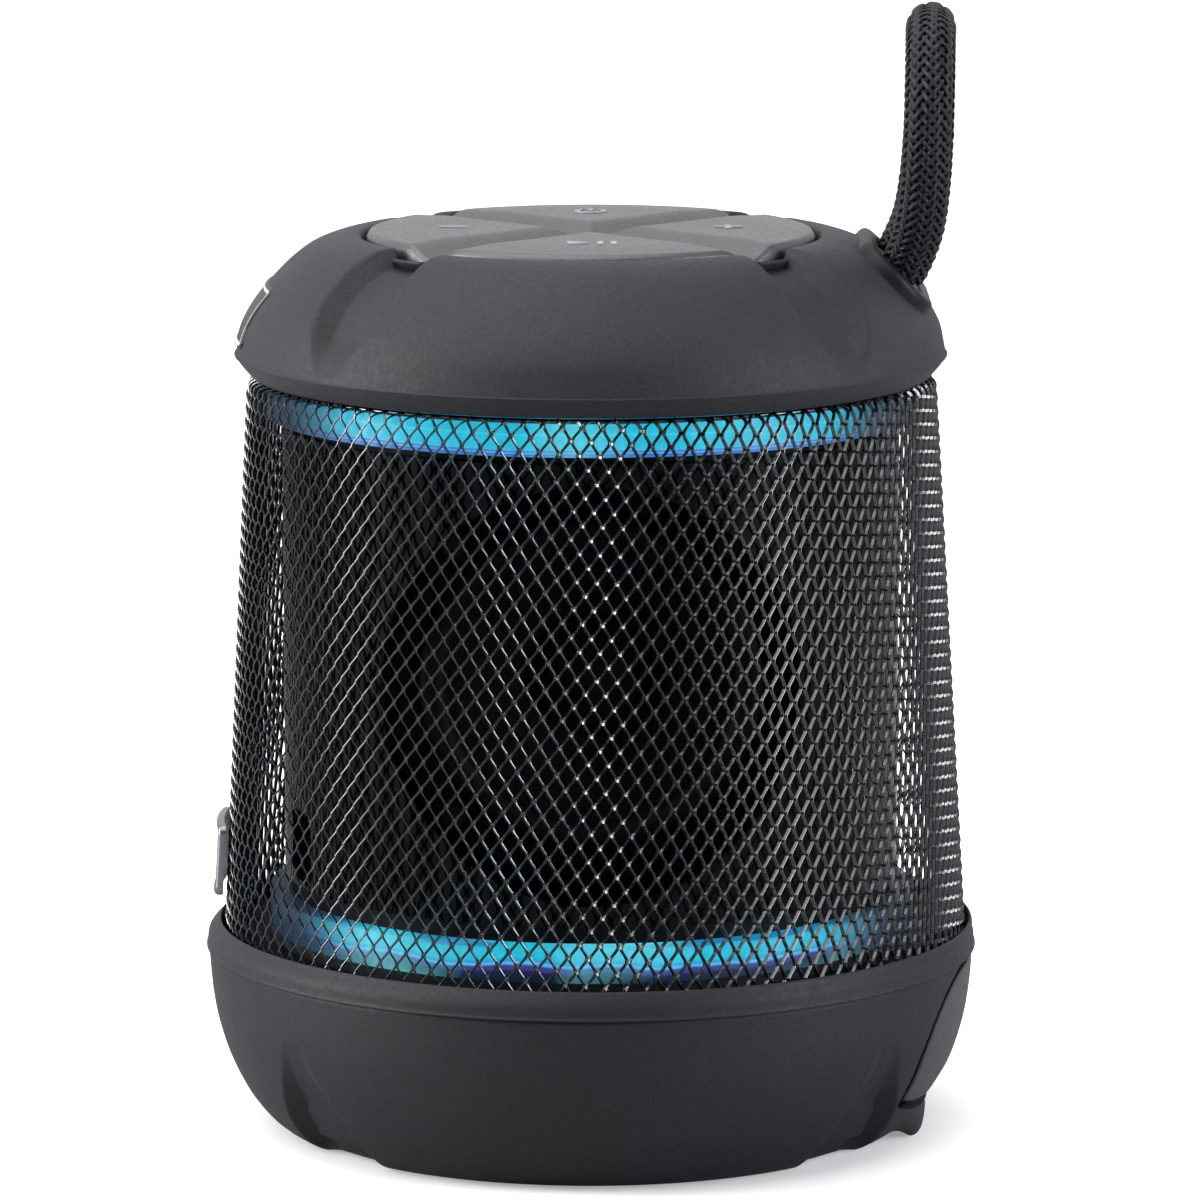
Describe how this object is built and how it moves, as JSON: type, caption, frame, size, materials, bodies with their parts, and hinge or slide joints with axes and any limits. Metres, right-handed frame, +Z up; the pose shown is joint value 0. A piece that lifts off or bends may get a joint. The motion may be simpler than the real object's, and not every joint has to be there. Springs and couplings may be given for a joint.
{
  "type": "shower speaker",
  "caption": "Compact cylindrical shower speaker: rubber caps, expanded-metal grille over light rings, top keys in a cross panel, port flap and braided carry loop.",
  "frame": {"origin": "on the floor under the middle of the body", "axes": "+Z up; -Y is the front, towards the listener; +X is the side with the cord collar and the port flap"},
  "size_m": [0.099, 0.099, 0.1444],
  "materials": {
    "rubber": "matte, fine moulded grain",
    "rubber_flap": "matte, fine moulded grain",
    "panel_rubber": "matte, silky",
    "key_rubber": "matte, silky",
    "grille_paint": "satin powder coat on expanded steel",
    "barrel_gloss": "high gloss",
    "light_ring": "translucent diffuser, lit",
    "collar_plastic": "fine satin",
    "cord_braid": "round braid, slightly fuzzy",
    "badge_rubber": "satin with brighter rim",
    "badge_metal": "brushed",
    "chassis_abs": "moulded",
    "foot_rubber": "matte with ring grooves",
    "seal": "silicone",
    "circuit_board": "solder mask",
    "board_black": "epoxy",
    "led_white": "white solder mask",
    "steel_screw": "zinc plated",
    "steel_plate": "nickel plated",
    "socket_steel": "plated shell",
    "socket_plastic": "moulded",
    "battery_wrap": "shrink wrap",
    "cone_paper": "pressed pulp",
    "foam": "closed cell foam",
    "surround_rubber": "smooth",
    "spider_cloth": "impregnated corrugated cloth",
    "coil_copper": "enamelled winding",
    "ferrite": "ground",
    "basket_steel": "stamped",
    "ferrule_brass": "crimped",
    "ribbon": "polyimide film",
    "light_pipe": "clear"
  },
  "bodies": {
    "housing": {"base_boot": "rubber", "foot_pad": "foot_rubber", "base_chassis": "chassis_abs", "rim_gasket": "seal", "aux_socket": "socket_plastic", "usb_socket": "socket_steel", "main_board": "circuit_board", "board_parts": "board_black", "board_screws": "steel_screw", "battery_tray": "chassis_abs", "battery_cell": "battery_wrap", "lower_deck": "chassis_abs", "lower_led_board": "led_white", "lower_light_ring": "light_ring", "base_screws": "steel_screw", "barrel": "barrel_gloss", "barrel_screws": "steel_screw", "driver_basket": "basket_steel", "driver_gasket": "foam", "driver_surround": "surround_rubber", "driver_spider": "spider_cloth", "driver_top_plate": "steel_plate", "driver_magnet": "ferrite", "driver_yoke": "steel_plate", "driver_screws": "steel_screw", "radiator_frame": "chassis_abs", "radiator_surround": "surround_rubber", "radiator_screws": "steel_screw", "ribbon_cable": "ribbon", "grille": "grille_paint", "grille_badge": "badge_metal", "top_chassis": "chassis_abs", "top_screws": "steel_screw", "upper_led_board": "led_white", "upper_light_ring": "light_ring", "cord_collar": "collar_plastic", "cord_tails": "cord_braid", "cord_ferrules": "ferrule_brass", "top_boot": "rubber", "cap_badge": "badge_rubber", "control_panel": "panel_rubber", "key_board": "circuit_board", "key_switches": "board_black", "key_board_screws": "steel_screw", "microphone": "socket_steel", "status_light": "light_pipe"},
    "key_left": {"key_left": "key_rubber"},
    "key_right": {"key_right": "key_rubber"},
    "key_front": {"key_front": "key_rubber"},
    "key_back": {"key_back": "key_rubber"},
    "driver_motion": {"driver_cone": "cone_paper", "dust_cap": "cone_paper", "voice_coil": "coil_copper"},
    "radiator_motion": {"radiator_diaphragm": "cone_paper", "radiator_weight": "steel_plate"},
    "flap": {"port_flap": "rubber_flap"},
    "carry_loop": {"carry_cord": "cord_braid"}
  },
  "joints": [
    {"name": "key_left_press", "type": "slide", "parent": "housing", "child": "key_left", "axis": [0, 0, 1], "range_m": [-0.0004, 0], "stiffness_N_per_m": 3000},
    {"name": "key_right_press", "type": "slide", "parent": "housing", "child": "key_right", "axis": [0, 0, 1], "range_m": [-0.0004, 0], "stiffness_N_per_m": 3000},
    {"name": "key_front_press", "type": "slide", "parent": "housing", "child": "key_front", "axis": [0, 0, 1], "range_m": [-0.0004, 0], "stiffness_N_per_m": 3000},
    {"name": "key_back_press", "type": "slide", "parent": "housing", "child": "key_back", "axis": [0, 0, 1], "range_m": [-0.0004, 0], "stiffness_N_per_m": 3000},
    {"name": "driver_stroke", "type": "slide", "parent": "housing", "child": "driver_motion", "axis": [0, -1, 0], "range_m": [-0.0015, 0.0015], "stiffness_N_per_m": 1000, "deforming": ["driver_surround", "driver_spider"]},
    {"name": "radiator_stroke", "type": "slide", "parent": "housing", "child": "radiator_motion", "axis": [0, 1, 0], "range_m": [-0.002, 0.002], "stiffness_N_per_m": 800, "deforming": ["radiator_surround"]},
    {"name": "flap_bend", "type": "hinge", "parent": "housing", "child": "flap", "pos_m": [0.049, 0, 0.0226], "axis": [0, -1, 0], "range_deg": [0, 95]},
    {"name": "loop_lean", "type": "hinge", "parent": "housing", "child": "carry_loop", "pos_m": [0.0393, 0, 0.11105], "axis": [0, 1, 0], "range_deg": [-7, 38], "stiffness_Nm_per_rad": 0.02}
  ]
}
